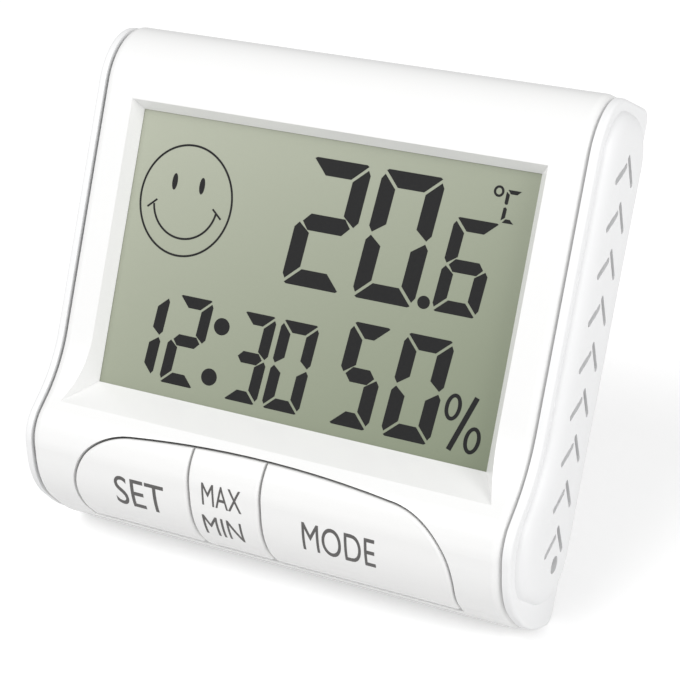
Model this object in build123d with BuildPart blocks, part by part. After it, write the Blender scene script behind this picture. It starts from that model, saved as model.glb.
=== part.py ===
from build123d import *
from math import atan2, cos, degrees, hypot, radians, sin
import os

os.makedirs("parts", exist_ok=True)

# A desktop hygrometer with clock. It is drawn upright: X runs along the display, Y goes into the
# case from the face at Y = 0, and Z goes up from the underside. The last section opens the stand
# and leans the whole instrument back on it. All sizes are in millimetres and degrees.

# Case, in side view: corner points of the outline, each with its rounding
case_height = 70.0
case_depth = 19.6
face_width = 67.0
side_draft = 3.4
brow_radius = 8.5
flare_height = 22.4
flare_radius = 16.0
lip_height = 14.0
lip_reach = 5.5
lip_radius = 5.3
chin_height = 5.3
chin_reach = 0.9
chin_radius = 14.0
heel_depth = 10.7
heel_radius = 24.0
back_radius = 2.0
wall = 2.0
edge_radius = 1.2

# Display window, its bevel, and the ledge behind its lower edge
window_width = 56.0
window_height = 37.6
window_base = 21.0
sill_depth = 1.9
bevel_slope = 0.55
bevel_fall = 0.64
bevel_reach = 3.2
ledge_drop = 3.2

# Cheeks of the rear shell: rim beside the seam, dome, air slots
back_wall = 1.8
seam = 0.25
rim_inset = 0.3
rim_width = 1.1
rim_radius = 0.5
dome_levels = ((0.7, 1.7, 6.8), (1.7, 2.0, 6.5), (2.4, 2.9, 5.6), (2.8, 4.4, 4.1), (2.95, 6.6, 2.8))
cheek_wall = 1.3
cheek_hollow_inset = 3.4
tongue = 0.9
tongue_reach = 1.6
fit = 0.15
slot_count = 9
slot_pitch = 5.92
slot_first = 15.1
slot_width = 0.9
slot_middle = 7.9
slot_gap = 0.7
slot_arms = ((-1, 2.6, 2.1, 1.1), (1, 3.2, 3.0, 0.0))
port_diameter = 2.4
port_height = 10.2
port_depth = 9.6

# Buttons in the lip
opening_width = 54.8
opening_height = 16.8
opening_arch = 2.4
opening_corner = 9.8
opening_depth = 6.2
gap = 0.3
button_crown = 0.12
button_wall = 1.8
button_edge = 0.4
button_travel = 0.6
skirt = 1.4
flange_growth = 0.6
flange_depth = 3.1
set_edge = -9.4
mode_edge = 0.95
switch_height = 10.6
post_diameter = 3.0
stem_diameter = 2.0
stem_front = 0.6
stem_length = 3.0
switch_size = 4.5
switch_depth = 2.9
switch_cover = 0.4
clearance = 0.3

# Display cell, board and the parts on it
film = 0.2
glass = 0.6
glass_width = 60.0
glass_height = 42.0
contact_ledge = 2.8
frame_wall = 0.6
shelf = 1.2
strip_margin = 0.4
board_thickness = 1.0
board_front = 4.8
board_width = 62.0
board_base = 7.2
board_step = 12.8
board_neck_width = 54.0
board_tab_width = 48.0
board_top = 66.3
board_shoulder = 62.2
board_corner = 0.8
chip_diameter = 13.0
chip_height = 1.6
chip_at = (2.0, 27.0)
crystal_x = 14.0
crystal_base = 23.0
crystal_diameter = 2.0
crystal_length = 6.0
chip_part_pitch = 3.2
capacitor_row = 15.6
capacitor_count = 6
capacitor_size = (1.6, 0.8, 0.8)
resistor_row = 12.6
resistor_count = 8
resistor_size = (1.6, 0.8, 0.5)
sensor_x = 26.0
sensor_height = 24.0
sensor_size = (6.0, 10.0, 2.6)
sensor_slot = 0.6
sensor_slot_count = 6
bead_diameter = 2.2
bead_stand = 2.4
lead_pitch = 1.0
lead_diameter = 0.4

# Battery, its bay and lid
battery_diameter = 10.4
battery_length = 43.3
nub_diameter = 3.8
nub_length = 1.2
battery_height = 46.5
bay_length = 52.0
bay_width = 11.4
bay_wall = 1.2
bay_floor = 7.0
bay_floor_wall = 1.0
battery_edge = 0.5
contact_thickness = 0.4
contact_size = 8.2
contact_gap = 0.1
tab_width = 3.0
tab_depth = 10.0
tab_reach = 3.2
tab_slot = 1.0
wire_diameter = 0.6
wire_bend = 1.89
wire_run = 7.0
lid_thickness = 1.4
lid_seat = 0.1
lid_border = 1.5
lid_corner = 1.5
lid_grip_width = 12.0
lid_grip_height = 3.0
grip_count = 3
grip_pitch = 2.2
grip_length = 14.0
grip_width = 0.9
grip_depth = 0.4
spring_wire = 0.6
spring_turns = 4
spring_radius = 3.0

# Stand: drawn folded, opened in the last section
lean = 26.1
stand_open = 38.0
stand_width = 38.0
stand_thickness = 2.0
stand_corner = 4.0
hinge_height = 32.5
pin_diameter = 1.8
pin_length = 1.9
pin_fit = 0.1
stop_gap = 0.25
pocket_floor = 1.4
pocket_margin = 0.4
pin_wall = 2.6
hinge_sink = 1.3
foot_margin = 0.6
notch_width = 14.0
notch_height = 3.0
stand_cut_width = 24.0
stand_cut_height = 14.0
sleeve_wall = 0.6

# Screws, hanging slot and magnets
case_screw_x = 29.4
case_screw_low = 5.0
case_screw_high = 65.0
boss_radius = 2.2
boss_end = 15.4
screw_diameter = 2.2
screw_head = 4.2
screw_head_height = 1.7
screw_length = 8.0
sink_diameter = 4.8
sink_depth = 2.4
board_screw_places = ((20.5, 64.5), (29.2, 15.0))
board_boss_radius = 1.9
board_screw_diameter = 1.8
board_screw_head = 3.4
board_screw_head_height = 1.1
board_screw_length = 3.9
pilot_fit = 0.05
keyhole_height = 58.6
keyhole_radius = 3.5
keyhole_slot_radius = 1.9
keyhole_rise = 5.2
keyhole_pocket = 4.2
keyhole_wall = 1.1
magnet_x = 20.0
magnet_height = 61.5
magnet_diameter = 8.0
magnet_thickness = 1.5

# Places that follow from the sizes above
cover_end = case_depth - back_wall - 0.2
window_middle = window_base + window_height / 2
ledge_height = window_base - ledge_drop
cell_front = wall + 0.05
rear_glass_front = cell_front + film + glass
reflector_front = rear_glass_front + glass
glass_base = window_middle - glass_height / 2
glass_top = window_middle + glass_height / 2
board_back = board_front + board_thickness
button_end = opening_depth - clearance - button_travel - clearance
far = 2 * case_depth
shell_inside = case_depth - back_wall
lid_length = bay_length + 2 * lid_border
lid_width = bay_width + 2 * lid_border
keyhole_reach = keyhole_radius + keyhole_rise + keyhole_slot_radius + keyhole_wall / 2

# The open stand touches the table together with the cover's rear lower edge: its length follows
hinge_depth = case_depth - hinge_sink
hinge_level = hinge_height * cos(radians(lean)) - (hinge_depth - cover_end) * sin(radians(lean))
stand_length = (hinge_level - stand_thickness / 2) / cos(radians(stand_open - lean))
pocket_depth = hinge_depth - stand_thickness / 2 - clearance
heel_room = stand_thickness / 2 + clearance - stop_gap
heel_rise = (heel_room - stand_thickness / 2 * cos(radians(stand_open))) / sin(radians(stand_open))
pocket_base = hinge_height - stand_length - stand_thickness / 2 - foot_margin
pocket_top = hinge_height + hypot(stand_thickness / 2, heel_rise) + clearance
pocket_width = stand_width + 2 * pocket_margin

side_plane = Plane(
    origin=(face_width / 2, 0, 0),
    x_dir=(sin(radians(side_draft)), cos(radians(side_draft)), 0),
    z_dir=(cos(radians(side_draft)), -sin(radians(side_draft)), 0),
)
left_side_plane = Plane(
    origin=(-face_width / 2, 0, 0),
    x_dir=(-sin(radians(side_draft)), cos(radians(side_draft)), 0),
    z_dir=(-cos(radians(side_draft)), -sin(radians(side_draft)), 0),
)


def upright(depth):
    """A plane parallel to the face at this depth; extruding by a negative amount goes back."""
    return Plane.XZ.offset(-depth)


def case_section(back, inset=0.0):
    """Side view of the case between its front outline, shrunk by inset, and the line Y = back."""
    with BuildSketch(Plane.XY, mode=Mode.PRIVATE) as section:
        with BuildLine():
            front = FilletPolyline(
                (far, case_height),
                (0, case_height),
                (0, flare_height),
                (-lip_reach, lip_height),
                (-chin_reach, chin_height),
                (heel_depth, 0),
                (far, 0),
                radius=[brow_radius, flare_radius, lip_radius, chin_radius, heel_radius],
            )
            Line(front @ 1, front @ 0)
        make_face()
        if inset:
            offset(amount=-inset, kind=Kind.INTERSECTION)
        with Locations((back, case_height / 2)):
            Rectangle(far, 2 * case_height, align=(Align.MIN, Align.CENTER), mode=Mode.SUBTRACT)
    return section.sketch_local


def cavity_section(back, inset=0.0):
    """Inside of the front cover in side view: even wall, with a flat seat behind the window."""
    with BuildSketch(Plane.XY, mode=Mode.PRIVATE) as section:
        add(case_section(back, wall + inset))
        with Locations((wall + inset, ledge_height - inset)):
            Rectangle(far, window_height / 2, align=(Align.MAX, Align.MIN), mode=Mode.SUBTRACT)
    return section.sketch_local


def shell_section(inset=rim_inset):
    """Side view of the rear shell, with its back corners rounded."""
    with BuildSketch(Plane.XY, mode=Mode.PRIVATE) as section:
        add(case_section(case_depth, inset))
        fillet(section.vertices().group_by(Axis.X)[-1], back_radius)
    return section.sketch_local


def dome_section(inset, corner):
    """One level of the domed cheek: the case's corner points, moved in and rounded."""
    with BuildSketch(Plane.XY, mode=Mode.PRIVATE) as section:
        with BuildLine():
            Polyline(
                (case_depth, case_height),
                (0, case_height),
                (0, flare_height),
                (-lip_reach, lip_height),
                (-chin_reach, chin_height),
                (case_depth, 0),
                close=True,
            )
        make_face()
        offset(amount=-inset, kind=Kind.INTERSECTION)
        corners = section.vertices().sort_by_distance((inset, flare_height, 0))
        fillet(corners[1:], corner)
        flare = section.vertices().sort_by_distance((inset, flare_height, 0))[0]
        fillet(flare, flare_radius)
    return section.sketch_local


def opening_outline(growth=0.0):
    """Front view of the buttons' opening: an arched top with rounded shoulders, open below."""
    half = opening_width / 2
    shoulder = opening_height - opening_arch
    with BuildSketch(Plane.XY, mode=Mode.PRIVATE) as outline:
        with BuildLine():
            ThreePointArc((-half, shoulder), (0, opening_height), (half, shoulder))
            Polyline((half, shoulder), (half, -case_depth), (-half, -case_depth), (-half, shoulder))
        make_face()
        fillet(outline.vertices().group_by(Axis.Y)[-1], opening_corner)
        if growth:
            offset(amount=growth, kind=Kind.INTERSECTION)
    return outline.sketch_local


# Front cover: one channel that makes the face, the top and the underside
with BuildPart() as front_cover:
    with BuildSketch(Plane.YZ):
        add(case_section(cover_end))
    extrude(amount=face_width, both=True)
    split(bisect_by=side_plane, keep=Keep.BOTTOM)
    split(bisect_by=left_side_plane, keep=Keep.BOTTOM)
    sides = front_cover.faces().sort_by(Axis.X)
    outer_edges = sides[0].edges() + sides[-1].edges()
    back_edges = front_cover.faces().sort_by(Axis.Y)[-1].edges()
    fillet([edge for edge in outer_edges if edge not in back_edges], edge_radius)
    with BuildSketch(Plane.YZ):
        add(cavity_section(far))
    extrude(amount=face_width, both=True, mode=Mode.SUBTRACT)

    # Bevelled display window: its lower bevel falls further, to meet the flare of the lip
    bevel_run = sill_depth + bevel_reach
    with BuildSketch(upright(sill_depth)):
        with Locations((0, window_middle)):
            Rectangle(window_width, window_height)
    with BuildSketch(upright(-bevel_reach)):
        with Locations((0, window_base - bevel_fall * bevel_run)):
            Rectangle(
                window_width + 2 * bevel_slope * bevel_run,
                window_height + (bevel_slope + bevel_fall) * bevel_run,
                align=(Align.CENTER, Align.MIN),
            )
    loft(mode=Mode.SUBTRACT)
    with BuildSketch(upright(sill_depth)):
        with Locations((0, window_middle)):
            Rectangle(window_width, window_height)
    extrude(amount=-wall, mode=Mode.SUBTRACT)

    # Opening for the buttons, through the lip and the front of the underside
    with BuildSketch(upright(-2 * lip_reach)):
        add(opening_outline())
    extrude(amount=-(2 * lip_reach + opening_depth), mode=Mode.SUBTRACT)

    # Bosses for the case screws and the board screws, with their pilot holes
    for height, start in ((case_screw_low, opening_depth + 0.2), (case_screw_high, wall + 1.2)):
        with BuildSketch(upright(start)):
            with Locations((-case_screw_x, height), (case_screw_x, height)):
                Circle(boss_radius)
        extrude(amount=-(boss_end - start))
    for x, height in board_screw_places:
        with BuildSketch(upright(board_front)):
            with Locations((-x, height), (x, height)):
                Circle(board_boss_radius)
        extrude(until=Until.NEXT)
        with BuildSketch(upright(board_front)):
            with Locations((-x, height), (x, height)):
                Circle(board_screw_diameter / 2 + pilot_fit)
        extrude(amount=board_screw_length - board_thickness + 0.1, mode=Mode.SUBTRACT)
    for height in (case_screw_low, case_screw_high):
        with BuildSketch(upright(boss_end)):
            with Locations((-case_screw_x, height), (case_screw_x, height)):
                Circle(screw_diameter / 2 + pilot_fit)
        extrude(amount=screw_length - 0.9, mode=Mode.SUBTRACT)
front_cover.part.label = "front_cover"

# Domed cheek of the rear shell, lofted through levels that rise and draw in
with BuildPart() as cheek:
    for height, inset, corner in dome_levels:
        with BuildSketch(side_plane.offset(height)):
            add(dome_section(inset, corner))
    loft()

# Room between the cheeks, up to the seam, for the right half of the shell
with BuildPart() as case_room:
    with BuildSketch(upright(shell_inside)):
        with Locations((0, case_height / 2)):
            Rectangle(2 * face_width, 2 * case_height)
    extrude(amount=far)
    split(bisect_by=side_plane.offset(seam), keep=Keep.BOTTOM)

# Rear shell: back wall, rims and cheeks; the right half is made first and mirrored
with BuildPart() as rear_shell:
    with BuildSketch(Plane.YZ):
        add(shell_section())
    extrude(amount=face_width)
    split(bisect_by=side_plane.offset(seam + rim_width), keep=Keep.BOTTOM)
    rim_face = rear_shell.faces().sort_by(Axis.X)[-1]
    fillet(rim_face.edges(), rim_radius)
    add(cheek.part)
    add(case_room.part, mode=Mode.SUBTRACT)

    # Tongue that steps under the cover's edge, and the hollow of the cheek
    with BuildSketch(side_plane.offset(seam)):
        add(cavity_section(shell_inside, fit))
        add(cavity_section(shell_inside, fit + tongue), mode=Mode.SUBTRACT)
    extrude(amount=-tongue_reach)
    crown = dome_levels[-1][0]
    with BuildSketch(side_plane.offset(crown - cheek_wall)):
        add(dome_section(cheek_hollow_inset, lip_radius))
        with Locations((shell_inside, case_height / 2)):
            Rectangle(far, 2 * case_height, align=(Align.MIN, Align.CENTER), mode=Mode.SUBTRACT)
    extrude(amount=-(crown + tongue_reach), mode=Mode.SUBTRACT)

    # Air slots in chevrons up the crown of the cheek, and the round port below them
    with BuildSketch(side_plane.offset(2 * crown)):
        for index in range(slot_count):
            apex = slot_first + index * slot_pitch
            for side, run, rise, top in slot_arms:
                middle = (slot_middle + side * (slot_gap + run) / 2, apex - top - rise / 2)
                with Locations(middle):
                    SlotCenterToCenter(
                        hypot(run, rise), slot_width, rotation=-side * degrees(atan2(rise, run))
                    )
        with Locations((port_depth, port_height)):
            Circle(port_diameter / 2)
    extrude(amount=-2 * crown, mode=Mode.SUBTRACT)
    mirror(about=Plane.YZ)

    # Battery bay with its rebate for the lid, standing on the inside of the back wall
    with BuildSketch(upright(shell_inside)):
        with Locations((0, battery_height)):
            Rectangle(lid_length + 2 * bay_wall, lid_width + 2 * bay_wall)
    extrude(amount=bay_wall)
    with BuildSketch(upright(shell_inside)):
        with Locations((0, battery_height)):
            Rectangle(bay_length + 2 * bay_wall, bay_width + 2 * bay_wall)
    extrude(amount=shell_inside - bay_floor + bay_floor_wall)
    with BuildSketch(upright(case_depth)):
        with Locations((0, battery_height)):
            Rectangle(bay_length, bay_width)
    extrude(amount=case_depth - bay_floor, mode=Mode.SUBTRACT)
    with BuildSketch(upright(case_depth)):
        with Locations((0, battery_height)):
            RectangleRounded(lid_length, lid_width, lid_corner)
    extrude(amount=lid_thickness + lid_seat, mode=Mode.SUBTRACT)
    with BuildSketch(upright(case_depth)):
        with Locations((0, battery_height - lid_width / 2)):
            SlotOverall(lid_grip_width, lid_grip_height)
    extrude(amount=lid_thickness + lid_seat, mode=Mode.SUBTRACT)
    with BuildSketch(upright(tab_depth + tab_slot / 2)):
        with Locations((0, battery_height)):
            Rectangle(bay_length + 4 * bay_wall, tab_width + 2 * clearance)
    extrude(amount=tab_slot, mode=Mode.SUBTRACT)

    # Recess for the stand, with its floor on the inside, holes for its pins and a finger notch
    with BuildSketch(upright(shell_inside)):
        with Locations((0, wall + seam)):
            Rectangle(
                pocket_width + 2 * pin_wall,
                pocket_top + bay_wall - wall - seam,
                align=(Align.CENTER, Align.MIN),
            )
    extrude(amount=shell_inside - pocket_depth + pocket_floor)
    with BuildSketch(upright(case_depth)):
        with Locations((0, pocket_base)):
            Rectangle(pocket_width, pocket_top - pocket_base, align=(Align.CENTER, Align.MIN))
    extrude(amount=case_depth - pocket_depth, mode=Mode.SUBTRACT)
    with BuildSketch(upright(case_depth)):
        with Locations((0, pocket_base)):
            SlotOverall(notch_width, notch_height)
    extrude(amount=case_depth - pocket_depth, mode=Mode.SUBTRACT)
    with Locations(Location((0, hinge_depth, hinge_height), (0, 90, 0))):
        Cylinder(
            pin_diameter / 2 + pin_fit,
            pocket_width + 2 * (pin_length - clearance) + 2 * pin_fit,
            mode=Mode.SUBTRACT,
        )

    # Sleeves for the case screws, sunk from behind
    for height in (case_screw_low, case_screw_high):
        with BuildSketch(upright(shell_inside)):
            with Locations((-case_screw_x, height), (case_screw_x, height)):
                Circle(boss_radius + sleeve_wall)
        extrude(amount=shell_inside - boss_end - seam)
        with BuildSketch(upright(case_depth)):
            with Locations((-case_screw_x, height), (case_screw_x, height)):
                Circle(sink_diameter / 2)
        extrude(amount=sink_depth, mode=Mode.SUBTRACT)
        with BuildSketch(upright(case_depth)):
            with Locations((-case_screw_x, height), (case_screw_x, height)):
                Circle(screw_diameter / 2 + clearance)
        extrude(amount=case_depth - boss_end, mode=Mode.SUBTRACT)

    # Hanging slot: a round mouth that narrows upwards, with a closed pocket behind it
    with BuildSketch(upright(shell_inside)):
        with Locations((0, keyhole_height - keyhole_radius - keyhole_wall)):
            Rectangle(
                2 * (keyhole_radius + 2 * keyhole_wall),
                keyhole_reach + 2 * keyhole_wall,
                align=(Align.CENTER, Align.MIN),
            )
    extrude(amount=keyhole_pocket + keyhole_wall)
    with BuildSketch(upright(shell_inside)):
        with Locations((0, keyhole_height - keyhole_radius)):
            Rectangle(
                2 * (keyhole_radius + keyhole_wall), keyhole_reach, align=(Align.CENTER, Align.MIN)
            )
    extrude(amount=keyhole_pocket, mode=Mode.SUBTRACT)
    with BuildSketch(upright(case_depth)):
        with Locations((0, keyhole_height)):
            Circle(keyhole_radius)
        with Locations((0, keyhole_height + keyhole_rise / 2)):
            SlotCenterToCenter(keyhole_rise, 2 * keyhole_slot_radius, rotation=90)
    extrude(amount=back_wall, mode=Mode.SUBTRACT)

    # Seats for the two magnets, open to the back
    with BuildSketch(upright(shell_inside)):
        with Locations((-magnet_x, magnet_height), (magnet_x, magnet_height)):
            Circle(magnet_diameter / 2 + bay_wall)
    extrude(amount=bay_wall)
    with BuildSketch(upright(case_depth)):
        with Locations((-magnet_x, magnet_height), (magnet_x, magnet_height)):
            Circle(magnet_diameter / 2 + pin_fit)
    extrude(amount=magnet_thickness + pin_fit, mode=Mode.SUBTRACT)
rear_shell.part.label = "rear_shell"


def wrap(outer, growth, left, right, inner=None):
    """The lip from one depth inwards, or to a second depth, cut to the opening's outline."""
    with BuildPart() as skin:
        with BuildSketch(Plane.YZ.offset(left)):
            add(case_section(button_end, outer))
            if inner:
                add(case_section(far, inner), mode=Mode.SUBTRACT)
        extrude(amount=right - left)
        with BuildSketch(upright(-2 * lip_reach)):
            add(opening_outline(growth))
        extrude(amount=-(2 * lip_reach + button_end), mode=Mode.INTERSECT)
    return skin.part


# Buttons: three wrap-round caps that share the opening, each with a retaining flange inside and
# a post that meets the stem of its switch
edge_of_opening = opening_width / 2
button_places = {
    "set_button": (-edge_of_opening, set_edge - gap / 2),
    "max_min_button": (set_edge + gap / 2, mode_edge - gap / 2),
    "mode_button": (mode_edge + gap / 2, edge_of_opening),
}
buttons = []
stems = []
switch_columns = []
for name, (left, right) in button_places.items():
    column = (left + right) / 2
    cap = wrap(-button_crown, -gap, left, right)
    core = wrap(flange_depth, gap, left, right)
    flange = wrap(wall + clearance, flange_growth, left, right, flange_depth)
    hollow = wrap(button_wall, -gap - skirt, left + skirt, right - skirt, flange_depth + skirt)
    with BuildPart() as button:
        add(cap)
        skin_edges = button.edges().filter_by_position(Axis.Y, -far, button_end - gap)
        fillet([edge for edge in skin_edges if abs(edge.tangent_at(0.5).Y) < 0.999], button_edge)
        add(core, mode=Mode.SUBTRACT)
        add(flange)
        add(hollow, mode=Mode.SUBTRACT)
        with BuildSketch(upright(stem_front)):
            with Locations((column, switch_height)):
                Circle(post_diameter / 2)
        extrude(until=Until.NEXT)
    button.part.label = name
    buttons.append(button)
    with BuildPart() as stem:
        with BuildSketch(upright(stem_front)):
            with Locations((column, switch_height)):
                Circle(stem_diameter / 2)
        extrude(amount=-stem_length)
        chamfer(stem.edges().sort_by(Axis.Y)[0], stem_diameter / 10)
    stem.part.label = name.replace("button", "switch_stem")
    stems.append(stem)
    switch_columns.append((column, switch_height))

# Switch housings: three square bodies on the board, bored for their stems
with BuildPart() as switch_housings:
    with BuildSketch(upright(board_front)):
        with Locations(switch_columns):
            RectangleRounded(switch_size, switch_size, switch_size / 10)
    extrude(amount=switch_depth)
    with BuildSketch(upright(board_front - switch_depth)):
        with Locations(switch_columns):
            Circle(stem_diameter / 2 + clearance)
    extrude(amount=-(switch_depth - switch_cover), mode=Mode.SUBTRACT)
switch_housings.part.label = "switch_housings"

# Display cell: grey-green polariser, two glasses with a contact ledge, and the backing
with BuildPart() as lcd_front_polariser:
    with BuildSketch(upright(cell_front)):
        with Locations((0, window_middle)):
            Rectangle(glass_width - 2 * film, glass_height - 2 * film)
    extrude(amount=-film)
lcd_front_polariser.part.label = "lcd_front_polariser"

with BuildPart() as lcd_front_glass:
    with BuildSketch(upright(cell_front + film)):
        with Locations((0, window_middle)):
            Rectangle(glass_width, glass_height)
    extrude(amount=-glass)
lcd_front_glass.part.label = "lcd_front_glass"

with BuildPart() as lcd_rear_glass:
    with BuildSketch(upright(rear_glass_front)):
        with Locations((0, glass_top)):
            Rectangle(
                glass_width, glass_height - contact_ledge, align=(Align.CENTER, Align.MAX)
            )
    extrude(amount=-glass)
lcd_rear_glass.part.label = "lcd_rear_glass"

with BuildPart() as lcd_reflector:
    with BuildSketch(upright(reflector_front)):
        with Locations((0, glass_top - film)):
            Rectangle(
                glass_width - 2 * film,
                glass_height - contact_ledge - 2 * film,
                align=(Align.CENTER, Align.MAX),
            )
    extrude(amount=-film)
lcd_reflector.part.label = "lcd_reflector"

# Frame that holds the cell between the face and the board, with a shelf behind the glass
with BuildPart() as lcd_frame:
    with BuildSketch(upright(cell_front)):
        with Locations((0, window_middle)):
            RectangleRounded(
                glass_width + 2 * (frame_wall + fit), glass_height + 2 * (frame_wall + fit), frame_wall
            )
    extrude(amount=-(board_front - cell_front))
    with BuildSketch(upright(cell_front)):
        with Locations((0, window_middle)):
            Rectangle(glass_width + 2 * fit, glass_height + 2 * fit)
    extrude(amount=-(reflector_front + film - cell_front), mode=Mode.SUBTRACT)
    with BuildSketch(upright(cell_front)):
        with Locations((0, window_middle)):
            Rectangle(glass_width - 2 * shelf, glass_height - 2 * shelf)
        with Locations((0, glass_base)):
            Rectangle(glass_width - 2 * shelf, 2 * shelf, align=(Align.CENTER, Align.MIN))
    extrude(amount=-board_front, mode=Mode.SUBTRACT)
lcd_frame.part.label = "lcd_frame"

# Elastomer strip from the ledge of the front glass to the board
with BuildPart() as contact_strip:
    with BuildSketch(upright(rear_glass_front)):
        with Locations((0, glass_base + strip_margin)):
            Rectangle(
                glass_width - 4 * shelf,
                contact_ledge - 2 * strip_margin,
                align=(Align.CENTER, Align.MIN),
            )
    extrude(amount=-(board_front - rear_glass_front))
contact_strip.part.label = "contact_strip"

# Circuit board: full width behind the display, a neck between the switches' sides and the
# case bosses, and a tab above for the upper screws
with BuildPart() as circuit_board:
    with BuildSketch(upright(board_front)) as outline:
        with Locations((0, board_step)):
            Rectangle(board_width, board_shoulder - board_step, align=(Align.CENTER, Align.MIN))
        with Locations((0, board_base)):
            Rectangle(board_neck_width, case_height / 2, align=(Align.CENTER, Align.MIN))
        with Locations((0, board_top)):
            Rectangle(board_tab_width, case_height / 2, align=(Align.CENTER, Align.MAX))
        fillet(outline.vertices(), board_corner)
    extrude(amount=-board_thickness)
    with BuildSketch(upright(board_front)):
        for x, height in board_screw_places:
            with Locations((-x, height), (x, height)):
                Circle(board_screw_diameter / 2 + clearance)
    extrude(amount=-board_thickness, mode=Mode.SUBTRACT)
circuit_board.part.label = "circuit_board"

# Parts soldered to the back of the board
with BuildPart() as chip_blob:
    with BuildSketch(upright(board_back)):
        with Locations(chip_at):
            Circle(chip_diameter / 2)
    extrude(amount=-chip_height)
    fillet(chip_blob.faces().sort_by(Axis.Y)[-1].edges(), chip_height * 0.9)
chip_blob.part.label = "chip_blob"

with BuildPart() as crystal:
    with BuildSketch(Plane.XY.offset(crystal_base)):
        with Locations((crystal_x, board_back + crystal_diameter / 2)):
            Circle(crystal_diameter / 2)
    extrude(amount=crystal_length)
    fillet(crystal.faces().sort_by(Axis.Z)[-1].edges(), crystal_diameter / 5)
crystal.part.label = "crystal"

with BuildPart() as capacitors:
    with BuildSketch(upright(board_back)):
        with Locations((0, capacitor_row)):
            with GridLocations(chip_part_pitch, 1, capacitor_count, 1):
                Rectangle(capacitor_size[0], capacitor_size[1])
    extrude(amount=-capacitor_size[2])
capacitors.part.label = "capacitors"

with BuildPart() as resistors:
    with BuildSketch(upright(board_back)):
        with Locations((0, resistor_row)):
            with GridLocations(chip_part_pitch, 1, resistor_count, 1):
                Rectangle(resistor_size[0], resistor_size[1])
    extrude(amount=-resistor_size[2])
resistors.part.label = "resistors"

# Humidity sensor: a slotted open-fronted case beside the left cheek
with BuildPart() as humidity_sensor:
    with BuildSketch(upright(board_back)):
        with Locations((-sensor_x, sensor_height)):
            RectangleRounded(sensor_size[0], sensor_size[1], sensor_slot / 2)
    extrude(amount=-sensor_size[2])
    with BuildSketch(upright(board_back + sensor_size[2])):
        with Locations((-sensor_x, sensor_height)):
            with GridLocations(1, 2 * sensor_slot, 1, sensor_slot_count):
                Rectangle(sensor_size[0] - 4 * sensor_slot, sensor_slot)
    extrude(amount=sensor_size[2] / 2, mode=Mode.SUBTRACT)
humidity_sensor.part.label = "humidity_sensor"

# Thermistor: a bead on two leads beside the right cheek
with BuildPart() as thermistor:
    with Locations((sensor_x, board_back + bead_stand, sensor_height)):
        Sphere(bead_diameter / 2)
    with BuildSketch(upright(board_back)):
        with Locations((sensor_x - lead_pitch / 2, sensor_height), (sensor_x + lead_pitch / 2, sensor_height)):
            Circle(lead_diameter / 2)
    extrude(amount=-bead_stand)
thermistor.part.label = "thermistor"

# Battery: one slim round cell, its raised end towards the button contact on the left
battery_depth = bay_floor + clearance + battery_diameter / 2
battery_start = -bay_length / 2 + contact_thickness + contact_gap
with BuildPart() as battery:
    with BuildSketch(Plane.YZ.offset(battery_start + nub_length)):
        with Locations((battery_depth, battery_height)):
            Circle(battery_diameter / 2)
    extrude(amount=battery_length)
    fillet(battery.edges(), battery_edge)
    with BuildSketch(Plane.YZ.offset(battery_start)):
        with Locations((battery_depth, battery_height)):
            Circle(nub_diameter / 2)
    extrude(amount=nub_length)
battery.part.label = "battery"

# Contacts: flat plates at the ends of the bay, each with a tab through its wall
contacts = []
for side, name in ((-1, "button_contact"), (1, "spring_contact")):
    face = side * (bay_length / 2 - contact_gap)
    with BuildPart() as contact:
        with BuildSketch(Plane.YZ.offset(face)):
            with Locations((battery_depth, battery_height)):
                Rectangle(contact_size, contact_size)
        extrude(amount=-side * contact_thickness)
        with BuildSketch(upright(tab_depth - contact_thickness / 2)):
            with Locations((face - side * contact_thickness, battery_height)):
                Rectangle(
                    tab_reach,
                    tab_width,
                    align=(Align.MIN if side > 0 else Align.MAX, Align.CENTER),
                )
        extrude(amount=-contact_thickness)
        if side > 0:
            spring_front = battery_start + nub_length + battery_length
            spring_length = face - contact_thickness - spring_front - spring_wire
            spring_foot = (face - contact_thickness - spring_wire / 3, battery_depth, battery_height)
            with BuildLine() as coil:
                Helix(
                    pitch=spring_length / spring_turns,
                    height=spring_length,
                    radius=spring_radius,
                    center=spring_foot,
                    direction=(-1, 0, 0),
                )
            with BuildSketch(Plane(coil.line @ 0, z_dir=coil.line % 0)):
                Circle(spring_wire / 2)
            sweep(path=coil.line, is_frenet=True)
    contact.part.label = name
    contacts.append(contact)

# Hook-up wires from the contacts' tabs down and forward to the board
wires = []
tab_end = bay_length / 2 - contact_gap - contact_thickness + tab_reach - wire_diameter
for side, name in ((-1, "positive_wire"), (1, "negative_wire")):
    wire_top = battery_height - tab_width / 2
    with BuildPart() as wire:
        with BuildLine() as route:
            FilletPolyline(
                (side * tab_end, tab_depth, wire_top),
                (side * tab_end, tab_depth, wire_top - wire_run),
                (side * tab_end, board_back, wire_top - wire_run),
                radius=wire_bend,
            )
        with BuildSketch(Plane(route.line @ 0, z_dir=route.line % 0)):
            Circle(wire_diameter / 2)
        sweep(path=route.line)
    wire.part.label = name
    wires.append(wire)
    print(name, "bend radius", wire_bend, "length", round(route.wires()[0].length, 1))

# Battery lid: a flush plate that snaps into the rebate, with ribs over the cell
with BuildPart() as battery_cover:
    with BuildSketch(upright(case_depth)):
        with Locations((0, battery_height)):
            RectangleRounded(
                lid_length - 2 * clearance, lid_width - 2 * clearance, lid_corner - clearance
            )
    extrude(amount=lid_thickness)
    with BuildSketch(upright(case_depth)):
        with Locations((0, battery_height)):
            with GridLocations(1, grip_pitch, 1, grip_count):
                SlotOverall(grip_length, grip_width)
    extrude(amount=grip_depth, mode=Mode.SUBTRACT)
battery_cover.part.label = "battery_cover"

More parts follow.
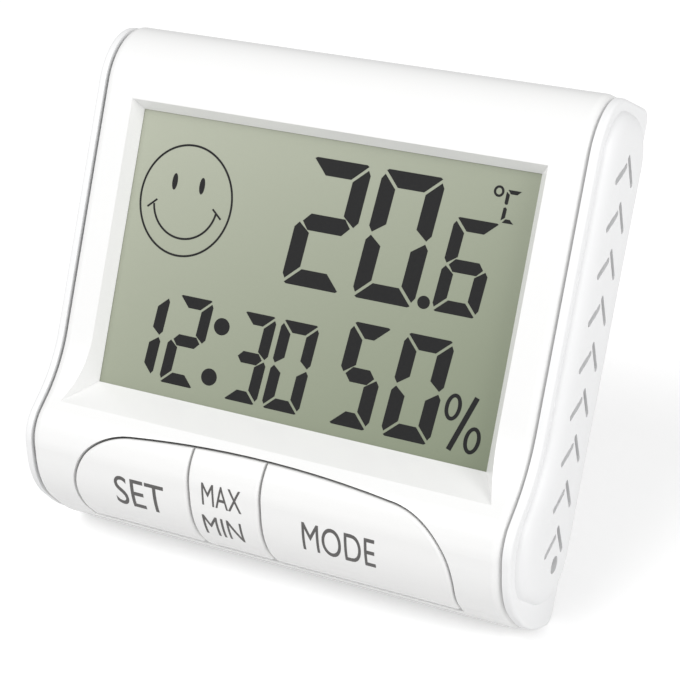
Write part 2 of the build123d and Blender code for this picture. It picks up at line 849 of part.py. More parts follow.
# Stand: a flap with a rounded foot; its square heel stops against the recess when it is open
with BuildPart() as stand:
    with BuildSketch(Plane.YZ):
        with Locations((hinge_depth, hinge_height)):
            Circle(stand_thickness / 2)
        with Locations((hinge_depth, hinge_height - stand_length)):
            Circle(stand_thickness / 2)
        with Locations((hinge_depth, hinge_height)):
            Rectangle(stand_thickness, stand_length, align=(Align.CENTER, Align.MAX))
        with Locations((hinge_depth - stand_thickness / 2, hinge_height)):
            Rectangle(stand_thickness / 2, heel_rise, align=(Align.MIN, Align.MIN))
    extrude(amount=stand_width / 2, both=True)
    with BuildSketch(upright(case_depth)):
        with Locations((0, hinge_height - stand_length / 2)):
            RectangleRounded(stand_cut_width, stand_cut_height, stand_corner)
    extrude(amount=case_depth, mode=Mode.SUBTRACT)
    with BuildSketch(Plane.YZ.offset(-stand_width / 2 - pin_length)):
        with Locations((hinge_depth, hinge_height)):
            Circle(pin_diameter / 2)
    extrude(amount=stand_width + 2 * pin_length)
stand.part.label = "stand"

# Magnets, screws
with BuildPart() as magnets:
    with BuildSketch(upright(case_depth - magnet_thickness)):
        with Locations((-magnet_x, magnet_height), (magnet_x, magnet_height)):
            Circle(magnet_diameter / 2)
    extrude(amount=-magnet_thickness)
magnets.part.label = "magnets"

with BuildPart() as case_screws:
    for height in (case_screw_low, case_screw_high):
        places = ((-case_screw_x, height), (case_screw_x, height))
        with BuildSketch(upright(case_depth - sink_depth)):
            with Locations(places):
                Circle(screw_diameter / 2)
        extrude(amount=screw_length)
        with BuildSketch(upright(case_depth - sink_depth)):
            with Locations(places):
                Circle(screw_head / 2)
        extrude(amount=-screw_head_height)
case_screws.part.label = "case_screws"

with BuildPart() as board_screws:
    for x, height in board_screw_places:
        places = ((-x, height), (x, height))
        with BuildSketch(upright(board_back)):
            with Locations(places):
                Circle(board_screw_diameter / 2)
        extrude(amount=board_screw_length)
        with BuildSketch(upright(board_back)):
            with Locations(places):
                Circle(board_screw_head / 2)
        extrude(amount=-board_screw_head_height)
board_screws.part.label = "board_screws"

# Open the stand about its pins, lean everything back, and put the origin at the centre of the
# footprint on the table
hinge = Axis((0, hinge_depth, hinge_height), (1, 0, 0))
stand.part = stand.part.rotate(hinge, stand_open)
stand.part.label = "stand"
pieces = [
    front_cover, rear_shell, *buttons, *stems, switch_housings,
    lcd_front_polariser, lcd_front_glass, lcd_rear_glass, lcd_reflector, lcd_frame,
    contact_strip, circuit_board, chip_blob, crystal, capacitors, resistors,
    humidity_sensor, thermistor, battery, *contacts, *wires, battery_cover,
    stand, magnets, case_screws, board_screws,
]
leaning = Rotation(-lean, 0, 0)
box = Compound(children=[piece.part.moved(leaning) for piece in pieces]).bounding_box()
footprint = Location((-box.center().X, -box.center().Y, -box.min.Z))
for piece in pieces:
    piece.part.move(footprint * leaning)
    export_step(piece.part, f"parts/{piece.part.label}.step")
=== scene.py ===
# %% [markdown]
# A desk hygrometer with a clock, dressed for its portrait. Everything below is measured from
# those solids, so each new piece lands where the real one would be printed, etched or fitted.

from math import atan2, radians

import bmesh
import bpy
from mathutils import Matrix, Vector
from mathutils.bvhtree import BVHTree


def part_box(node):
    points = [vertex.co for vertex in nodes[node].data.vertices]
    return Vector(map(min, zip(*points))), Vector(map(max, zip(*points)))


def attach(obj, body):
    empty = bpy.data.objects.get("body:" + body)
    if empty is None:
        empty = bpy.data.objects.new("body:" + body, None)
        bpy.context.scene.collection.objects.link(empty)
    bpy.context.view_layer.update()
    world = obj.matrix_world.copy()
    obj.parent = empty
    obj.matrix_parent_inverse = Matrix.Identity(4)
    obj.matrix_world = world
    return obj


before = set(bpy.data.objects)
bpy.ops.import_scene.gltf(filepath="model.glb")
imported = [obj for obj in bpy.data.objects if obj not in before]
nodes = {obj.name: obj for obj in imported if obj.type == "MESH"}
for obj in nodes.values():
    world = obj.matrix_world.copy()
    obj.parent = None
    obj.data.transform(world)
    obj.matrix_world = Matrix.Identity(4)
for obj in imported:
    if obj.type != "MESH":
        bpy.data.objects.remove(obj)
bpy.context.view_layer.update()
MM = 0.001

# %% [markdown]
# The instrument was drawn upright and leans back on its stand. Print and glass are easier to
# lay out on the upright drawing: X along the display, Y into the case, Z up from its underside,
# in millimetres. One matrix carries that drawing to the table. Its turn is the lean, and its
# shift comes from the two magnets, whose middle the drawing knows.

# %% From the upright drawing to the table
LEAN = radians(-26.1)
MAGNETS_DRAWN = Vector((0, 18.85, 61.5)) * MM
HINGE_DRAWN = (0, 18.3, 32.5)


def middle(node):
    """Centre of a CAD node's box."""
    low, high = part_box(node)
    return (low + high) / 2


turn = Matrix.Rotation(LEAN, 4, "X")
drawing = Matrix.Translation(middle("magnets") - turn @ MAGNETS_DRAWN) @ turn


def on_table(x, y, z):
    """A point of the upright drawing, in millimetres, where it stands on the table."""
    return drawing @ (Vector((x, y, z)) * MM)


print("hinge line stands at", [round(c * 1000, 2) for c in on_table(*HINGE_DRAWN)])

# %% [markdown]
# The camera stands where the photographer's stood: a little above the display, to the right,
# with a long lens that keeps the edges nearly parallel. Its place and its three directions are
# given in the upright drawing, so it follows the lean. Blender's camera looks along its own -Z.

# %% Camera
EYE = (79.93, -193.66, 50.61)
RIGHT = (0.91509, 0.36296, 0.17569)
DOWN = (0.19346, -0.01291, -0.98102)
AHEAD = (-0.35380, 0.93172, -0.08203)
FOCUS_PIXELS = 1627
PICTURE = 680

axes = [turn.to_3x3() @ Vector(direction) for direction in (RIGHT, DOWN, AHEAD)]
pose = Matrix((axes[0], -axes[1], -axes[2])).transposed().to_4x4()
pose.translation = on_table(*EYE)
camera_data = bpy.data.cameras.new("camera")
camera_data.sensor_width = 36
camera_data.lens = 36 * FOCUS_PIXELS / PICTURE
camera_data.clip_start = 0.01
camera = bpy.data.objects.new("camera", camera_data)
camera.matrix_world = pose
bpy.context.scene.collection.objects.link(camera)
bpy.context.scene.camera = camera
print("lens", round(camera_data.lens, 1), "mm")

# %% [markdown]
# Shader sums read best as sums. A small class holds one socket, and Python's own operators add
# the Math nodes: 1 - mask works because the reflected operators are there too. A second class
# starts a material and adds any other node by its type, its settings and its inputs.


# %% Sockets that can be added and multiplied
class Flow:
    """One output socket of a material's tree."""

    def __init__(self, recipe, socket):
        self.recipe = recipe
        self.socket = socket

    def maths(self, operation, *values):
        return self.recipe.node("ShaderNodeMath", {"operation": operation}, *values)

    def __add__(self, other):
        return self.maths("ADD", self, other)

    def __sub__(self, other):
        return self.maths("SUBTRACT", self, other)

    def __rsub__(self, other):
        return self.maths("SUBTRACT", other, self)

    def __mul__(self, other):
        return self.maths("MULTIPLY", self, other)

    __radd__ = __add__
    __rmul__ = __mul__


class Recipe:
    """A material with one Principled shader, filled in step by step."""

    def __init__(self, name, **constants):
        self.material = bpy.data.materials.new(name)
        self.material.use_nodes = True
        self.tree = self.material.node_tree
        self.shader = self.tree.nodes["Principled BSDF"]
        for key, value in constants.items():
            socket = key.replace("_", " ").title().replace("Ior", "IOR")
            self.shader.inputs[socket].default_value = value

    def node(self, kind, settings=None, *values, out=0, **named):
        made = self.tree.nodes.new(kind)
        for key, value in (settings or {}).items():
            setattr(made, key, value)
        pairs = list(enumerate(values)) + [(key.replace("_", " "), v) for key, v in named.items()]
        for key, value in pairs:
            if isinstance(value, Flow):
                self.tree.links.new(value.socket, made.inputs[key])
            else:
                made.inputs[key].default_value = value
        return Flow(self, made.outputs[out])

    def place(self):
        return self.node("ShaderNodeTexCoord", out="Object")

    def noise(self, size, detail=2.0):
        """Noise from 0 to 1 whose grains are about this many millimetres wide."""
        return self.node(
            "ShaderNodeTexNoise", None, Vector=self.place(), Scale=1 / (size * MM), Detail=detail
        )

    def blend(self, factor, first, second):
        """Colour between two, by a factor from 0 to 1."""
        mix = self.tree.nodes.new("ShaderNodeMix")
        mix.data_type = "RGBA"
        self.tree.links.new(factor.socket, mix.inputs["Factor"])
        for socket, value in ((mix.inputs[6], first), (mix.inputs[7], second)):
            if isinstance(value, Flow):
                self.tree.links.new(value.socket, socket)
            else:
                socket.default_value = (*value, 1.0)
        return Flow(self, mix.outputs[2])

    def feed(self, socket, flow):
        self.tree.links.new(flow.socket, self.shader.inputs[socket])
        return self

    def bump(self, height, depth):
        """Relief of this many millimetres between height 0 and 1."""
        normal = self.node("ShaderNodeBump", None, Strength=1.0, Distance=depth * MM, Height=height)
        return self.feed("Normal", normal)


def wear(node_names, recipe):
    """Put a finish on CAD nodes."""
    for name in node_names:
        mesh = nodes[name].data
        mesh.materials.clear()
        mesh.materials.append(recipe.material)


# %% [markdown]
# The cover and the buttons are glossy white ABS from a polished mould. Such a surface is not a
# mirror: it has a faint waviness left by shrinkage and a slightly uneven sheen. Two noises do
# that, one a few millimetres wide for the relief and a finer one for the roughness.


# %% Glossy white plastic
def glossy_white(name, colour, grain):
    recipe = Recipe(name, roughness=0.2, ior=1.5)
    cloud = recipe.noise(9.0)
    recipe.feed("Base Color", recipe.blend(cloud, colour, [c * 0.985 for c in colour]))
    recipe.feed("Roughness", 0.17 + 0.07 * recipe.noise(grain, 3.0))
    recipe.bump(recipe.noise(2.6, 1.0), 0.004)
    return recipe


cover_white = glossy_white("glossy_cover_white", (0.87, 0.87, 0.865), 0.5)
button_white = glossy_white("glossy_button_white", (0.87, 0.868, 0.862), 0.4)
wear(["front_cover"], cover_white)
wear(["set_button", "max_min_button", "mode_button"], button_white)

# %% [markdown]
# The rear shell, its lid and the stand come from a spark-eroded mould, which leaves a fine
# matt grain a quarter of a millimetre wide. The grain is bump and a little roughness.


# %% Satin white plastic
def satin_white(name, colour):
    recipe = Recipe(name, roughness=0.42, ior=1.48)
    grain = recipe.noise(0.22, 3.0)
    recipe.feed("Base Color", recipe.blend(recipe.noise(7.0), colour, [c * 0.98 for c in colour]))
    recipe.feed("Roughness", 0.36 + 0.12 * grain)
    recipe.bump(grain, 0.006)
    return recipe


shell_white = satin_white("satin_shell_white", (0.86, 0.862, 0.866))
frame_white = satin_white("satin_frame_white", (0.8, 0.8, 0.78))
wear(["rear_shell", "battery_cover", "stand"], shell_white)
wear(["lcd_frame"], frame_white)

# %% [markdown]
# The display is the one coloured surface. Its sage green comes from the backing seen through
# two polarisers. Its light and shade are painted: the green is painted lighter at the top left
# and darker at the bottom right, as the lamps fall on it. The gradient follows the display's
# own diagonal, on Object coordinates turned upright.

# %% Display film and backing
DISPLAY_MIDDLE = (0, 39.8)
GLASS_FRONT = 2.05
# Painted light and shade: a lit green for the top left of the display and a shaded green for its
# bottom right.
SAGE_PAINTED_LIT = (0.41, 0.432, 0.345)
SAGE_PAINTED_SHADE = (0.225, 0.257, 0.177)


def sage(name, roughness):
    recipe = Recipe(name, roughness=roughness, ior=1.45)
    along = (turn.to_3x3() @ Vector((0.62, 0, -0.78))) / (62 * MM)
    start = on_table(DISPLAY_MIDDLE[0], GLASS_FRONT, DISPLAY_MIDDLE[1]).dot(along)
    # Painted shade: a ramp along the diagonal from the painted lit green at the top left to the
    # painted shaded green at the bottom right.
    painted_shade_ramp = recipe.node(
        "ShaderNodeVectorMath", {"operation": "DOT_PRODUCT"}, recipe.place(), along, out="Value"
    )
    factor = painted_shade_ramp - (start - 0.5) + 0.02 * recipe.noise(0.35)
    recipe.feed("Base Color", recipe.blend(factor, SAGE_PAINTED_LIT, SAGE_PAINTED_SHADE))
    recipe.feed("Roughness", roughness + 0.05 * recipe.noise(0.12))
    recipe.bump(recipe.noise(0.1), 0.002)
    return recipe


wear(["lcd_front_polariser"], sage("sage_front_film_painted_shade", 0.34))
wear(["lcd_reflector"], sage("sage_backing_film_painted_shade", 0.5))

# %% [markdown]
# Inside are the parts that only a dismantled instrument shows. Each still gets its own finish:
# solder mask with a weave under it, epoxy, tinned steel, ceramic, rubber and a wrapped cell.


# %% Finishes of the inner parts
def plain(name, colour, roughness, size, relief=0.004, metallic=0.0):
    """A finish with gentle mottling of colour and sheen at one grain size."""
    recipe = Recipe(name, roughness=roughness, metallic=metallic)
    mottle = recipe.noise(size, 3.0)
    recipe.feed("Base Color", recipe.blend(mottle, colour, [c * 0.86 for c in colour]))
    recipe.feed("Roughness", roughness * (0.85 + 0.3 * mottle))
    recipe.bump(mottle, relief)
    return recipe


cell_glass = plain("pale_cell_glass", (0.72, 0.8, 0.76), 0.05, 3.0, 0.001)
wear(["lcd_front_glass", "lcd_rear_glass"], cell_glass)
wear(["circuit_board"], plain("green_solder_mask", (0.035, 0.2, 0.075), 0.28, 0.6))
wear(["chip_blob", "thermistor"], plain("black_epoxy", (0.012, 0.012, 0.013), 0.14, 1.5))
wear(["switch_housings"], plain("black_switch_body", (0.03, 0.03, 0.032), 0.45, 0.3))
stem_black = plain("black_switch_stem", (0.045, 0.045, 0.05), 0.35, 0.3)
wear(["set_switch_stem", "max_min_switch_stem", "mode_switch_stem"], stem_black)
wear(["contact_strip"], plain("grey_strip_rubber", (0.2, 0.2, 0.21), 0.7, 0.3))
wear(["capacitors"], plain("tan_ceramic", (0.42, 0.31, 0.19), 0.5, 0.2))
wear(["resistors"], plain("dark_ceramic", (0.03, 0.03, 0.03), 0.4, 0.2))
wear(["humidity_sensor"], plain("blue_sensor_case", (0.07, 0.2, 0.42), 0.5, 0.3))
wear(["crystal"], plain("drawn_can_steel", (0.72, 0.72, 0.71), 0.28, 0.2, metallic=1.0))
wear(["positive_wire"], plain("red_wire_skin", (0.5, 0.02, 0.015), 0.4, 0.4))
wear(["negative_wire"], plain("black_wire_skin", (0.018, 0.018, 0.018), 0.4, 0.4))
spring_steel = plain("nickelled_spring_steel", (0.7, 0.69, 0.66), 0.22, 0.3, metallic=1.0)
wear(["button_contact", "spring_contact"], spring_steel)
wear(["magnets"], plain("nickelled_magnet", (0.66, 0.65, 0.62), 0.24, 0.5, metallic=1.0))
screw_steel = plain("zinc_screw_steel", (0.6, 0.6, 0.61), 0.3, 0.2, metallic=1.0)
wear(["case_screws", "board_screws"], screw_steel)
wear(["battery"], plain("battery_jacket", (0.05, 0.055, 0.065), 0.3, 2.0))

# %% [markdown]
# Everything on the display is etched in one clear pattern: flat bars with mitred ends. A bar
# starts as a rectangle, and bisect_plane trims it, once per slanted end, exactly as a designer
# would cut tape. One upright quarter of a digit is enough: the rest are its mirror images.

# %% One bar of a digit
SLANT = 0.084
INK_TOP = GLASS_FRONT - 0.02
INK_DEEP = 0.018
MITRE = 0.7  # where a mitre starts, as a share of the gap between bars
BLUNT = 0.35  # how far the outer corners of top and side bars are blunted, in strokes
SHOULDER = 0.6
NOTCH = 0.25
BLUNT_SLOPE = 1.6
NOTCH_INNER_SLOPE = 0.75
NOTCH_OUTER_SLOPE = 1.3
TIP_SLOPE = 0.85


def trim(bm, point, outwards):
    """Cut away what lies beyond a line through the point, on the side that outwards shows."""
    bmesh.ops.bisect_plane(
        bm,
        geom=bm.verts[:] + bm.edges[:] + bm.faces[:],
        plane_co=(*point, 0),
        plane_no=(*outwards, 0),
        clear_outer=True,
    )


def bar(kind, wide, tall, stroke, gap):
    """Top bar, upper left bar or middle bar of a digit, flat, with its corner at the origin."""
    half = tall / 2
    boxes = {
        "top": (0, tall - stroke, wide, tall),
        "side": (0, half, stroke, tall),
        "middle": (0, half - stroke / 2, wide, half + stroke / 2),
    }
    left, low, right, high = boxes[kind]
    corners = ((left, low), (right, low), (right, high), (left, high))
    bm = bmesh.new()
    bm.faces.new([bm.verts.new((x, y, 0)) for x, y in corners])
    cut = MITRE * gap
    notch = NOTCH * stroke
    if kind == "top":
        trim(bm, (cut, tall), (-1, -1))
        trim(bm, (wide - cut, tall), (1, -1))
        trim(bm, (BLUNT * stroke, tall), (-1, BLUNT_SLOPE))
        trim(bm, (wide - BLUNT * stroke, tall), (1, BLUNT_SLOPE))
    if kind == "side":
        trim(bm, (0, tall - cut), (1, 1))
        trim(bm, (0, tall - SHOULDER * stroke), (-BLUNT_SLOPE, 1))
        trim(bm, (notch, half + gap / 2), (NOTCH_INNER_SLOPE, -1))
        trim(bm, (notch, half + gap / 2), (-NOTCH_OUTER_SLOPE, -1))
    if kind == "middle":
        for side, start in ((-1, notch + gap), (1, wide - notch - gap)):
            trim(bm, (start, half), (side, TIP_SLOPE))
            trim(bm, (start, half), (side, -TIP_SLOPE))
    return bm


# %% [markdown]
# Seven bars make a digit. Each letter below names one, as data sheets do: a is the top, then
# clockwise b to f, and g is the middle. A mirrored bar is turned back to face the reader.

# %% Digits
DIGITS = {"0": "abcdef", "1": "bc", "2": "abged", "3": "abgcd", "5": "afgcd", "6": "afgedc"}
BARS = {
    "a": ("top", 1, 1),
    "b": ("side", -1, 1),
    "c": ("side", -1, -1),
    "d": ("top", 1, -1),
    "e": ("side", 1, -1),
    "f": ("side", 1, 1),
    "g": ("middle", 1, 1),
}


def join(target, piece):
    """Add one bmesh to another."""
    mesh = bpy.data.meshes.new("part")
    piece.to_mesh(mesh)
    target.from_mesh(mesh)
    piece.free()
    bpy.data.meshes.remove(mesh)


def digit(target, figure, left, base, wide, tall, stroke, gap):
    """A slanted digit whose lower left corner would stand at (left, base)."""
    for letter in DIGITS[figure]:
        kind, across, up = BARS[letter]
        piece = bar(kind, wide, tall, stroke, gap)
        shift = Matrix.Translation((wide / 2, tall / 2, 0))
        flip = shift @ Matrix.Diagonal((across, up, 1, 1)) @ shift.inverted()
        slant = Matrix(((1, SLANT, 0, left), (0, 1, 0, base), (0, 0, 1, 0), (0, 0, 0, 1)))
        bmesh.ops.transform(piece, matrix=slant @ flip, verts=piece.verts)
        join(target, piece)


# %% [markdown]
# Dots, rings, the percent sign and the comfort face need rounder tools. A ring is two circles
# bridged; an arc is a short line spun about its centre, and a stroke is a thin rectangle.


# %% Dots, rings, strokes and arcs
DISC_SIDES = 48
ARC_STEPS = 40


def disc(target, x, y, across, high=None):
    """A filled round or oval dot."""
    piece = bmesh.new()
    bmesh.ops.create_circle(piece, cap_ends=True, segments=DISC_SIDES, radius=1)
    place_flat = Matrix.Translation((x, y, 0)) @ Matrix.Diagonal((across, high or across, 1, 1))
    bmesh.ops.transform(piece, matrix=place_flat, verts=piece.verts)
    join(target, piece)


def ring(target, x, y, across, high, stroke, slant=0.0, count=72):
    """An oval band between two circles, each stretched to its own width and height."""
    piece = bmesh.new()
    for width, height in ((across, high), (across - stroke, high - stroke)):
        made = bmesh.ops.create_circle(piece, cap_ends=False, segments=count, radius=1)
        bmesh.ops.transform(piece, matrix=Matrix.Diagonal((width, height, 1, 1)), verts=made["verts"])
    bmesh.ops.bridge_loops(piece, edges=piece.edges[:])
    lean = Matrix(((1, slant, 0, x), (0, 1, 0, y), (0, 0, 1, 0), (0, 0, 0, 1)))
    bmesh.ops.transform(piece, matrix=lean, verts=piece.verts)
    join(target, piece)


def dash(target, start, end, stroke):
    """A straight stroke between two points."""
    run = Vector(end) - Vector(start)
    piece = bmesh.new()
    bmesh.ops.create_grid(piece, x_segments=1, y_segments=1, size=0.5)
    spot = Matrix.Translation((*((Vector(start) + Vector(end)) / 2), 0))
    lie = Matrix.Rotation(atan2(run.y, run.x), 4, "Z")
    size = Matrix.Diagonal((run.length, stroke, 1, 1))
    bmesh.ops.transform(piece, matrix=spot @ lie @ size, verts=piece.verts)
    join(target, piece)


def arc(target, x, y, radius, start, sweep, stroke):
    """A bent stroke about (x, y), from one angle in degrees on through the sweep."""
    piece = bmesh.new()
    line = [piece.verts.new((radius + side * stroke / 2, 0, 0)) for side in (-1, 1)]
    edge = piece.edges.new(line)
    first = Matrix.Rotation(radians(start), 3, "Z")
    bmesh.ops.rotate(piece, verts=line, cent=(0, 0, 0), matrix=first)
    bmesh.ops.spin(
        piece,
        geom=line + [edge],
        cent=(0, 0, 0),
        axis=(0, 0, 1),
        angle=radians(sweep),
        steps=ARC_STEPS,
    )
    bmesh.ops.transform(piece, matrix=Matrix.Translation((x, y, 0)), verts=piece.verts)
    join(target, piece)


# %% [markdown]
# A flat pattern becomes a piece in three moves: it gets its thin body, stands up in the plane
# of the glass, and rides with the case. Flat (x, y) is read as the drawing's X and Z.

# %% From a flat pattern to a piece
segment_ink = Recipe("segment_ink", roughness=0.6, specular_ior_level=0.2)
SEGMENT_DARK = (0.012, 0.012, 0.013)
SEGMENT_PALE = (0.017, 0.017, 0.017)
segment_shade = segment_ink.blend(segment_ink.noise(0.4), SEGMENT_DARK, SEGMENT_PALE)
segment_ink.feed("Base Color", segment_shade)
segment_ink.feed("Roughness", 0.55 + 0.1 * segment_ink.noise(0.2))
segment_ink.bump(segment_ink.noise(0.12), 0.001)


def finish_piece(name, bm, recipe, body):
    """Turn a bmesh into an object of its own that moves with a body."""
    mesh = bpy.data.meshes.new(name)
    bm.to_mesh(mesh)
    bm.free()
    mesh.materials.append(recipe.material)
    piece = bpy.data.objects.new(name, mesh)
    bpy.context.scene.collection.objects.link(piece)
    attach(piece, body)
    return piece


def etch(name, bm):
    """Give a flat pattern a body and set it in the display."""
    bmesh.ops.recalc_face_normals(bm, faces=bm.faces)
    for face in bm.faces:
        if face.normal.z < 0:
            face.normal_flip()
    grown = bmesh.ops.extrude_face_region(bm, geom=bm.faces[:])
    raised = [item for item in grown["geom"] if isinstance(item, bmesh.types.BMVert)]
    bmesh.ops.translate(bm, verts=raised, vec=(0, 0, INK_DEEP))
    bmesh.ops.recalc_face_normals(bm, faces=bm.faces)
    depth = (INK_TOP + INK_DEEP) * MM
    stand_up = Matrix(((MM, 0, 0, 0), (0, 0, -MM, depth), (0, MM, 0, 0), (0, 0, 0, 1)))
    bmesh.ops.transform(bm, matrix=drawing @ stand_up, verts=bm.verts)
    print(name, len(bm.faces), "faces")
    piece = finish_piece(name, bm, segment_ink, "case")
    return piece


# %% Temperature, time and humidity readings
readings = bmesh.new()
digit(readings, "2", -4.05, 39.2, 8.55, 16.9, 2.2, 0.4)
digit(readings, "0", 6.0, 39.2, 8.55, 16.9, 2.2, 0.4)
digit(readings, "6", 16.95, 39.45, 6.1, 12.2, 1.65, 0.36)
disc(readings, 15.85, 40.25, 0.84)
digit(readings, "1", -25.6, 23.1, 5.3, 11.5, 1.6, 0.32)
digit(readings, "2", -19.2, 22.85, 5.35, 12.1, 1.55, 0.32)
disc(readings, -11.25, 31.85, 1.15)
disc(readings, -11.85, 24.9, 1.15)
digit(readings, "3", -9.45, 22.55, 4.95, 12.0, 1.55, 0.32)
digit(readings, "0", -3.75, 22.55, 5.4, 12.0, 1.55, 0.32)
digit(readings, "5", 5.75, 22.55, 5.7, 13.6, 1.95, 0.36)
digit(readings, "0", 13.2, 22.55, 6.7, 13.6, 1.95, 0.36)
etch("lcd_readings", readings)

# %% Units and the comfort face
symbols = bmesh.new()
ring(symbols, 22.95, 55.65, 0.68, 0.72, 0.3)
for points in (
    ((24.1, 56.0), (25.85, 56.0), (25.35, 55.5), (24.5, 55.5)),
    ((23.95, 55.75), (24.4, 55.4), (24.35, 54.2), (24.1, 54.1), (23.9, 54.3)),
    ((23.9, 53.7), (24.15, 53.8), (24.35, 53.6), (24.3, 52.5), (23.8, 52.1)),
    ((24.0, 51.85), (25.5, 51.85), (24.95, 52.35), (24.4, 52.35)),
):
    symbols.faces.new([symbols.verts.new((x, y, 0)) for x, y in points])
ring(symbols, 22.2, 28.05, 1.08, 1.75, 0.5, 0.07)
ring(symbols, 25.4, 24.4, 1.08, 1.75, 0.5, 0.07)
dash(symbols, (22.55, 22.65), (25.1, 29.8), 0.68)
etch("lcd_units", symbols)

comfort = bmesh.new()
ring(comfort, -19.65, 47.4, 6.95, 7.58, 0.28, count=120)
disc(comfort, -21.7, 49.7, 0.4, 1.12)
disc(comfort, -17.6, 49.7, 0.4, 1.12)
arc(comfort, -19.6, 47.0, 4.72, 188, 164, 0.28)
dash(comfort, (-25.2, 45.75), (-23.9, 46.95), 0.26)
dash(comfort, (-15.5, 46.95), (-14.1, 45.75), 0.26)
etch("lcd_comfort_face", comfort)

# %% [markdown]
# The words on the buttons are pad printed: a film of grey ink that follows the round of the
# lip. Text starts as a curve, so it is made a mesh first. It is fitted to its place on the
# drawing, sliced into strips so that it can bend, and each point is then pressed onto the
# button along the drawing's Y by a ray.

# %% Printed labels
print_ink = Recipe("grey_print_ink", roughness=0.5)
PRINT_DARK = (0.085, 0.082, 0.08)
PRINT_PALE = (0.115, 0.11, 0.108)
print_shade = print_ink.blend(print_ink.noise(0.3), PRINT_DARK, PRINT_PALE)
print_ink.feed("Base Color", print_shade)
print_ink.feed("Roughness", 0.45 + 0.15 * print_ink.noise(0.15))
print_ink.bump(print_ink.noise(0.15), 0.002)
INK_RISE = 0.02
INK_BODY = 0.035
SLICE = 0.25
RAY_START = -20
CURVE_STEPS = 6
WELD = 0.0005


def lettering(word):
    """A word as a flat mesh, in its own units."""
    curve = bpy.data.curves.new("word", "FONT")
    curve.body = word
    curve.resolution_u = CURVE_STEPS
    holder = bpy.data.objects.new("word", curve)
    bpy.context.scene.collection.objects.link(holder)
    bpy.context.view_layer.update()
    depsgraph = bpy.context.evaluated_depsgraph_get()
    mesh = bpy.data.meshes.new_from_object(holder.evaluated_get(depsgraph))
    bpy.data.objects.remove(holder)
    bm = bmesh.new()
    bm.from_mesh(mesh)
    bmesh.ops.remove_doubles(bm, verts=bm.verts, dist=WELD)
    return bm


def button_print(name, word, left, right, low, high, button):
    """Print a word inside a frame, given in the drawing's X and Z, on a button."""
    bm = lettering(word)
    across = [vert.co.x for vert in bm.verts]
    up = [vert.co.y for vert in bm.verts]
    widen = (right - left) / (max(across) - min(across))
    heighten = (high - low) / (max(up) - min(up))
    size = Matrix.Diagonal((widen, heighten, 1, 1))
    corner = Matrix.Translation((-min(across), -min(up), 0))
    to_frame = Matrix.Translation((left, low, 0)) @ size @ corner
    bmesh.ops.transform(bm, matrix=to_frame, verts=bm.verts)
    for step in range(1, int((high - low) / SLICE) + 1):
        bmesh.ops.bisect_plane(
            bm,
            geom=bm.verts[:] + bm.edges[:] + bm.faces[:],
            plane_co=(0, low + step * SLICE, 0),
            plane_no=(0, 1, 0),
        )
    tree = BVHTree.FromObject(nodes[button], bpy.context.evaluated_depsgraph_get())
    inwards = (turn.to_3x3() @ Vector((0, 1, 0))).normalized()
    for vert in bm.verts:
        start = on_table(vert.co.x, RAY_START, vert.co.y)
        hit, normal, _, _ = tree.ray_cast(start, inwards)
        vert.co = hit + normal * INK_RISE * MM
    bm.normal_update()
    if sum(face.normal.dot(inwards) * face.calc_area() for face in bm.faces) > 0:
        bmesh.ops.reverse_faces(bm, faces=bm.faces)
    bmesh.ops.solidify(bm, geom=bm.faces[:], thickness=INK_BODY * MM)
    bmesh.ops.recalc_face_normals(bm, faces=bm.faces)
    print(name, len(bm.faces), "faces")
    piece = finish_piece(name, bm, print_ink, button)
    return piece


button_print("set_label", "SET", -20.6, -13.1, 6.0, 10.1, "set_button")
button_print("max_label", "MAX", -7.3, -1.6, 9.1, 12.2, "max_min_button")
button_print("min_label", "MIN", -7.6, -1.9, 4.8, 7.6, "max_min_button")
button_print("mode_label", "MODE", 6.95, 17.0, 6.3, 10.3, "mode_button")

# %% [markdown]
# The studio is a white sweep under soft lamps. The floor is a real surface, so that it takes
# the instrument's shadow. For rays from the camera, Is Camera Ray makes the floor nearly white
# and the world fully white. A faint glow of the floor keeps its shadow pale, and reaches the
# underside of the lip a little too.

# %% Floor and world
FLOOR_GLOW = 0.22
FLOOR_GREY = (0.62, 0.62, 0.62)
FLOOR_SEEN = (0.98, 0.98, 0.98)
FLOOR_HALF = 3
WHITE = (1, 1, 1, 1)
WORLD_LIGHT = 0.5
WORLD_SEEN = 1.0

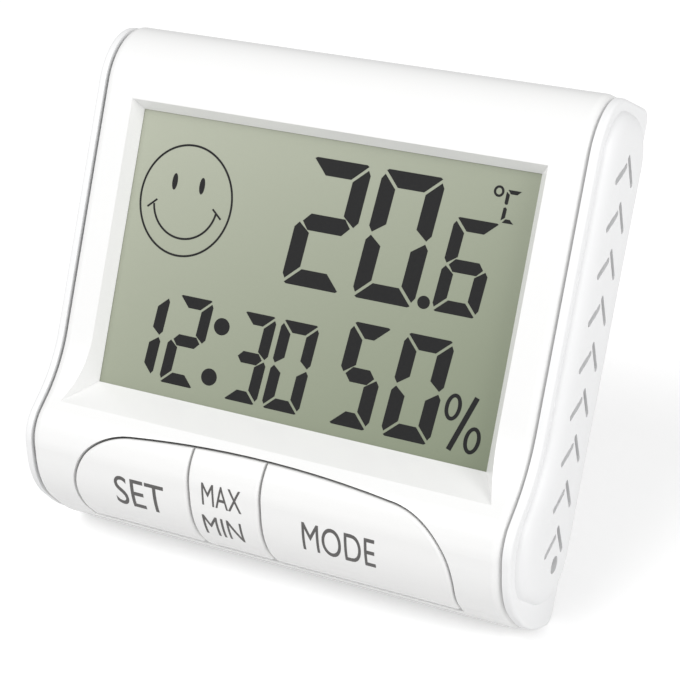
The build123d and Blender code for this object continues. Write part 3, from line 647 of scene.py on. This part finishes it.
floor_look = Recipe(
    "pale_floor", roughness=0.9, emission_color=WHITE, emission_strength=FLOOR_GLOW
)
seen = floor_look.node("ShaderNodeLightPath", out="Is Camera Ray")
floor_look.feed("Base Color", floor_look.blend(seen, FLOOR_GREY, FLOOR_SEEN))
sweep = bmesh.new()
bmesh.ops.create_grid(sweep, x_segments=1, y_segments=1, size=FLOOR_HALF)
floor_mesh = bpy.data.meshes.new("floor")
sweep.to_mesh(floor_mesh)
sweep.free()
floor_mesh.materials.append(floor_look.material)
floor = bpy.data.objects.new("floor", floor_mesh)
bpy.context.scene.collection.objects.link(floor)

world = bpy.data.worlds.new("studio")
bpy.context.scene.world = world
world.use_nodes = True
sky = world.node_tree
backdrop = sky.nodes["Background"]
backdrop.inputs["Color"].default_value = WHITE
rays = sky.nodes.new("ShaderNodeLightPath")
bright = sky.nodes.new("ShaderNodeMath")
bright.operation = "MULTIPLY_ADD"
sky.links.new(rays.outputs["Is Camera Ray"], bright.inputs[0])
bright.inputs[1].default_value = WORLD_SEEN - WORLD_LIGHT
bright.inputs[2].default_value = WORLD_LIGHT
sky.links.new(bright.outputs[0], backdrop.inputs["Strength"])

# %% [markdown]
# Two large panels do the lighting: the key stands to the upper left in front, so the lip and
# the right cheek fall off gently, and a weaker one to the right lifts the cheek.


# %% Lamps
AIM = Vector((0, 0, 0.03))


def panel(name, stand, wide, tall, watts):
    """A soft rectangular lamp, sizes in metres, turned towards the instrument."""
    lamp = bpy.data.lights.new(name, "AREA")
    lamp.shape = "RECTANGLE"
    lamp.size = wide
    lamp.size_y = tall
    lamp.energy = watts
    holder = bpy.data.objects.new(name, lamp)
    bpy.context.scene.collection.objects.link(holder)
    holder.location = stand
    holder.rotation_euler = (AIM - Vector(stand)).to_track_quat("-Z", "Y").to_euler()


panel("key_panel", stand=(-0.35, -0.55, 0.75), wide=0.6, tall=0.5, watts=4.9)
panel("fill_panel", stand=(0.75, -0.2, 0.45), wide=0.5, tall=0.5, watts=3.2)
bpy.context.scene.view_settings.view_transform = "Standard"
